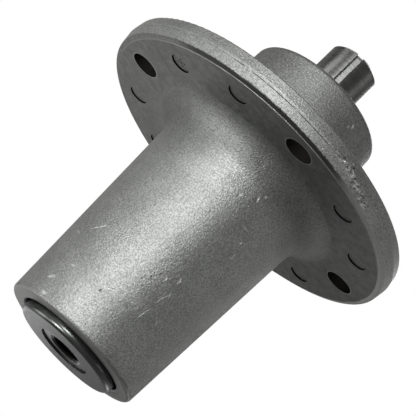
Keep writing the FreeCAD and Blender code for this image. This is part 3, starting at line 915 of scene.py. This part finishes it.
@dataclass
class BoreThread:
    """Crests of the thread in the shaft's tapped bore, in millimetres."""

    wall_rad: float = 7.4
    crest_rad: float = 6.75
    # The ridge starts this far inside the wall, so that no gap shows.
    sunk: float = 0.05
    root_half: float = 0.46
    crest_half: float = 0.07
    pitch: float = 2.3
    mouth_z: float = -118.4
    length: float = 36.0
    steps_per_turn: int = 72
    # Over its first and last half turn the ridge grows from these shares of its reach and its width.
    run_out_turns: float = 0.5
    end_reach: float = 0.05
    end_width: float = 0.2

    def build(self, material: bpy.types.Material) -> None:
        """Sweeps the crest's section round the bore.

        Args:
            material: Steel of the shaft.
        """
        root_rad = self.wall_rad + self.sunk
        section = ((root_rad, -self.root_half), (self.crest_rad, -self.crest_half),
                   (self.crest_rad, self.crest_half), (root_rad, self.root_half))
        run_out = self.steps_per_turn * self.run_out_turns
        shape = bmesh.new()
        last: list[bmesh.types.BMVert] = []
        steps = int(self.length / self.pitch * self.steps_per_turn)
        for step in range(steps + 1):
            turn = 2 * math.pi * step / self.steps_per_turn
            lift = self.mouth_z + self.pitch * step / self.steps_per_turn
            fade = min(1.0, step / run_out, (steps - step) / run_out)
            ring = []
            for radius, rise in section:
                reach = root_rad + (radius - root_rad) * max(fade, self.end_reach)
                ring.append(shape.verts.new((reach * math.cos(turn) * MM, reach * math.sin(turn) * MM,
                                             (lift + rise * max(fade, self.end_width)) * MM)))
            for i in range(len(last)):
                j = (i + 1) % len(last)
                shape.faces.new((last[i], last[j], ring[j], ring[i]))
            if step in (0, steps):
                shape.faces.new(ring)
            last = ring
        add_piece("bore_thread", shape, material, Body.SHAFT)


@dataclass
class ShaftLine:
    """The shaft and what is stacked on it."""

    # The ground shaft is the smoothest of the dark steels, with a narrow highlight down its length.
    shaft: TurnedSteel = field(default_factory=lambda: TurnedSteel(slot_painted_highlight="#7b7c7a", bore="#232322"))
    # The collar's turned face is duller and darker, with a brighter rubbed rim.
    collar: TurnedSteel = field(default_factory=lambda: TurnedSteel(
        name="collar_steel_turned", pale="#4e504e", dark="#474947", ring_mm=0.9, roughness=0.36,
        bump=0.008, across_face=True, burnished_from=22.7))
    # The phosphate coat makes the retaining rings near black and satin.
    ring: TurnedSteel = field(default_factory=lambda: TurnedSteel(
        name="spring_steel_phosphated", pale="#303030", dark="#222222", roughness=0.5))
    thread: BoreThread = field(default_factory=BoreThread)

    def build(self) -> None:
        """Dresses the shaft, its collars and the retaining rings, and cuts the thread."""
        steel = self.shaft.build()
        collar = self.collar.build()
        ring = self.ring.build()
        for name in ("spindle_shaft", "bearing_spacer"):
            dress(name, steel)
        for name in ("blade_collar", "pulley_collar"):
            dress(name, collar)
        for name in ("lower_retaining_ring", "upper_retaining_ring", "shaft_retaining_ring"):
            dress(name, ring)
        self.thread.build(steel)


@dataclass
class Bearings:
    """The two sealed ball bearings."""

    # Polished rings and balls are bright and mirror what is near.
    race: TurnedSteel = field(default_factory=lambda: TurnedSteel(
        name="bearing_steel_polished", pale="#c4c4c5", dark="#aeaeb0", roughness=0.18, bump=0.03))
    # The pressed cages are a little warmer and duller, as rolled strip is.
    cage: TurnedSteel = field(default_factory=lambda: TurnedSteel(
        name="cage_steel_pressed", pale="#a9a595", dark="#8d897b", roughness=0.35))
    seal: SealRubber = field(default_factory=SealRubber)

    def build(self) -> None:
        """Dresses every piece of both bearings."""
        race = self.race.build()
        cage = self.cage.build()
        seal = self.seal.build()
        for end in ("lower", "upper"):
            for name in ("outer_ring", "inner_ring", "balls"):
                dress(f"{end}_{name}", race)
            for name in ("cage_bottom", "cage_top", "cage_rivets"):
                dress(f"{end}_{name}", cage)
            for name in ("seal_bottom", "seal_top"):
                dress(f"{end}_{name}", seal)


@dataclass(frozen=True)
class Lamp:
    """A square soft lamp: its bearing from the camera's side, its lift, size, power and distance."""

    name: str
    bearing_deg: float
    lift_deg: float
    side_m: float
    power_w: float
    away_m: float = 0.9


@dataclass
class Studio:
    """Camera, lamps, white surround and pale floor."""

    # The camera was solved from the circles of the rim, the boss, the tube, the collar and the shaft. Its
    # focal length is in pixels of the photograph's width.
    camera_mm: tuple[float, float, float] = (74.78, 563.47, -222.67)
    right: tuple[float, float, float] = (-0.663583, 0.315853, 0.678155)
    up: tuple[float, float, float] = (0.737788, 0.126291, 0.663113)
    focal_px: float = 1400.0
    image_px: float = 416.0
    sensor_mm: float = 36.0
    # Lamps point at the part's middle, and their bearings start from the camera's side of it.
    middle_m: tuple[float, float, float] = (0.0, 0.0, -0.03)
    front_deg: float = 82.5
    # Strength of the surround for its light, and in reflections.
    surround: float = 0.05
    mirrored: float = 0.3
    floor_colour: str = "#ededeb"
    floor_rough: float = 0.9
    # The floor lies just under the collar, so that the two don't share a plane.
    floor_drop_m: float = 0.0002
    floor_half_m: float = 2.5
    lamps: tuple[Lamp, ...] = (
        Lamp("key_lamp", 22, 11, 0.32, 23.7, 1.1), Lamp("side_lamp", 70, 15, 0.45, 4.6, 1.0),
        Lamp("low_side_lamp", 95, -40, 0.25, 0.76, 0.45), Lamp("low_rear_lamp", 160, -30, 0.3, 0.28, 0.5),
        Lamp("back_lamp", 195, 40, 0.6, 3.7), Lamp("far_side_lamp", -75, 14, 0.45, 2.0, 1.0),
        Lamp("far_rear_lamp", -125, 14, 0.45, 1.1, 1.0), Lamp("rear_side_lamp", 120, 14, 0.45, 1.0, 1.0),
        Lamp("low_front_lamp", 45, -40, 0.12, 2.0, 0.5), Lamp("low_far_lamp", -140, -22, 0.2, 0.25, 0.6))

    def build(self) -> None:
        """Sets the whole studio up."""
        bpy.context.scene.view_settings.view_transform = "Standard"
        self.add_camera()
        for lamp in self.lamps:
            self.add_lamp(lamp)
        self.add_surround()
        self.add_floor()

    def add_camera(self) -> None:
        """Places the camera at the photograph's view."""
        data = bpy.data.cameras.new("camera")
        data.sensor_width = self.sensor_mm
        data.lens = self.focal_px * self.sensor_mm / self.image_px
        data.clip_start, data.clip_end = 0.01, 20.0
        camera = bpy.data.objects.new("camera", data)
        bpy.context.scene.collection.objects.link(camera)
        right, up = Vector(self.right).normalized(), Vector(self.up).normalized()
        turned = Matrix((right, up, right.cross(up))).transposed()
        camera.matrix_world = Matrix.Translation(Vector(self.camera_mm) * MM) @ turned.to_4x4()
        bpy.context.scene.camera = camera

    def add_lamp(self, lamp: Lamp) -> None:
        """Adds a lamp that points at the part's middle.

        Args:
            lamp: Its place, size and power.
        """
        data = bpy.data.lights.new(lamp.name, "AREA")
        data.shape = "SQUARE"
        data.size = lamp.side_m
        data.energy = lamp.power_w
        holder = bpy.data.objects.new(lamp.name, data)
        bpy.context.scene.collection.objects.link(holder)
        side = math.radians(self.front_deg - lamp.bearing_deg)
        lift = math.radians(lamp.lift_deg)
        direction = Vector((math.cos(side) * math.cos(lift), math.sin(side) * math.cos(lift), math.sin(lift)))
        holder.location = Vector(self.middle_m) + direction * lamp.away_m
        holder.visible_camera = False
        holder.rotation_mode = "QUATERNION"
        holder.rotation_quaternion = direction.to_track_quat("Z", "Y")

    def add_surround(self) -> None:
        """Adds a surround that is white to the camera, dim for its light and a paler grey in reflections."""
        world = bpy.data.worlds.new("surround")
        world.use_nodes = True
        tree = world.node_tree
        tree.nodes.clear()
        path = add_node(tree, "ShaderNodeLightPath")
        seen = add_node(tree, "ShaderNodeMath", {"operation": "MAXIMUM"}, {
            0: path.outputs["Is Camera Ray"], 1: path.outputs["Is Transmission Ray"]})
        light = add_node(tree, "ShaderNodeMapRange", links={
            0: path.outputs["Is Glossy Ray"], 1: 0.0, 2: 1.0, 3: self.surround, 4: self.mirrored})
        strength = add_node(tree, "ShaderNodeMath", {"operation": "MAXIMUM"}, {
            0: seen.outputs[0], 1: light.outputs[0]})
        glow = add_node(tree, "ShaderNodeBackground", links={
            "Color": (1.0, 1.0, 1.0, 1.0), "Strength": strength.outputs[0]})
        add_node(tree, "ShaderNodeOutputWorld", links={"Surface": glow.outputs[0]})
        bpy.context.scene.world = world

    def add_floor(self) -> None:
        """Adds a pale floor under the blade collar, which the camera sees from above only."""
        half = self.floor_half_m
        low = CAD_BOX[0].z - self.floor_drop_m
        mesh = bpy.data.meshes.new("floor")
        corners = [(-half, -half, low), (half, -half, low), (half, half, low), (-half, half, low)]
        mesh.from_pydata(corners, [], [(0, 1, 2, 3)])
        floor = bpy.data.objects.new("floor", mesh)
        bpy.context.scene.collection.objects.link(floor)
        material, tree, shader = new_material("pale_floor")
        shader.inputs["Base Color"].default_value = linear(self.floor_colour)
        shader.inputs["Roughness"].default_value = self.floor_rough
        path = add_node(tree, "ShaderNodeLightPath")
        side = add_node(tree, "ShaderNodeNewGeometry")
        front = add_node(tree, "ShaderNodeMath", {"operation": "SUBTRACT"}, {
            0: path.outputs["Is Camera Ray"], 1: side.outputs["Backfacing"]})
        clear = add_node(tree, "ShaderNodeBsdfTransparent")
        mixed = add_node(tree, "ShaderNodeMixShader", links={
            0: front.outputs[0], 1: clear.outputs[0], 2: shader.outputs[0]})
        sheet = next(n for n in tree.nodes if n.type == "OUTPUT_MATERIAL")
        tree.links.new(mixed.outputs[0], sheet.inputs["Surface"])
        mesh.materials.append(material)


def main() -> None:
    """Builds the looks piece by piece."""
    logging.basicConfig(level=logging.INFO, format="%(name)s: %(message)s")
    for assembly in (Housing(), ShaftLine(), Bearings(), Studio()):
        assembly.build()
        LOG.info("built %s", type(assembly).__name__)


if __name__ == "__main__":
    main()
